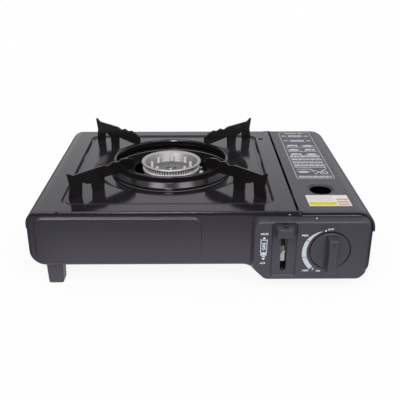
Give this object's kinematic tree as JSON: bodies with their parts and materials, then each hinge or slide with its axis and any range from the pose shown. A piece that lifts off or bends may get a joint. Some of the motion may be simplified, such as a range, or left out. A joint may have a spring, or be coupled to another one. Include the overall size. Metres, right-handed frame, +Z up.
{
  "type": "portable gas stove",
  "caption": "Low table stove with one round burner, a lift-off pan support, a swing-up cartridge lid, a turning gas knob and a sliding lock lever.",
  "frame": {"origin": "middle of the bottom of the whole box, on the floor under the feet", "axes": "+X to the right, +Y to the rear, +Z up; the controls face -Y"},
  "size_m": [0.343, 0.2842, 0.1115],
  "materials": {
    "casing_paint": "satin black paint",
    "tray_enamel": "gloss black enamel",
    "support_enamel": "gloss black enamel",
    "lid_paint": "matt dark grey paint",
    "panel_plastic": "fine grained charcoal plastic",
    "knob_plastic": "fine grained charcoal plastic",
    "foot_plastic": "black plastic",
    "white_nylon": "white nylon",
    "cast_aluminium": "cast",
    "zinc_plate": "zinc plated",
    "steel": "bare steel",
    "brass": "turned",
    "seal_rubber": "black rubber",
    "insulator": "glazed ceramic",
    "lead_cover": "black lead cover",
    "igniter_plastic": "black plastic"
  },
  "bodies": {
    "casing": {"base_shell": "casing_paint", "front_panel": "casing_paint", "rear_panel": "casing_paint", "top_plate": "tray_enamel", "partition_wall": "zinc_plate", "foot_front_left": "foot_plastic", "foot_front_right": "foot_plastic", "foot_rear_left": "foot_plastic", "foot_rear_right": "foot_plastic", "foot_screws": "steel", "plate_screw": "steel", "control_screws": "steel", "regulator_screws": "steel", "bracket_screws": "steel", "hinge_pins": "steel", "control_panel": "panel_plastic", "regulator_body": "cast_aluminium", "diaphragm_cover": "zinc_plate", "gas_inlet": "brass", "inlet_seal": "seal_rubber", "cartridge_guide": "zinc_plate", "gas_jet": "brass", "mixing_tube": "zinc_plate", "burner_base": "cast_aluminium", "burner_bracket": "zinc_plate", "burner_cap": "cast_aluminium", "electrode_insulator": "insulator", "electrode_pin": "steel", "piezo_igniter": "igniter_plastic", "ignition_lead": "lead_cover", "carriage_rails": "zinc_plate"},
    "lid": {"cartridge_lid": "lid_paint"},
    "knob": {"control_knob": "knob_plastic", "valve_shaft": "steel"},
    "lever": {"lock_lever": "knob_plastic", "drive_pin": "steel"},
    "carriage": {"cartridge_carriage": "zinc_plate", "slide_block": "white_nylon"},
    "pan_support": {"support_ring": "support_enamel", "support_arm_fl": "support_enamel", "support_arm_fr": "support_enamel", "support_arm_rl": "support_enamel", "support_arm_rr": "support_enamel"}
  },
  "joints": [
    {"name": "lid_hinge", "type": "hinge", "parent": "casing", "child": "lid", "pos_m": [0.096, 0.01135, 0.0826], "axis": [0, -1, 0], "range_deg": [0, 95]},
    {"name": "knob_turn", "type": "hinge", "parent": "casing", "child": "knob", "pos_m": [0.1266, -0.12665, 0.0464], "axis": [0, -1, 0], "range_deg": [0, 140]},
    {"name": "lever_slide", "type": "slide", "parent": "casing", "child": "lever", "axis": [0, 0, -1], "range_m": [0, 0.028]},
    {"name": "carriage_slide", "type": "slide", "parent": "casing", "child": "carriage", "axis": [0, -1, 0], "range_m": [0, 0.008]},
    {"name": "support_lift", "type": "slide", "parent": "casing", "child": "pan_support", "axis": [0, 0, 1], "range_m": [0, 0.06]}
  ],
  "couplings": [
    {"joint": "carriage_slide", "follows": "lever_slide", "ratio": 0.28571}
  ]
}
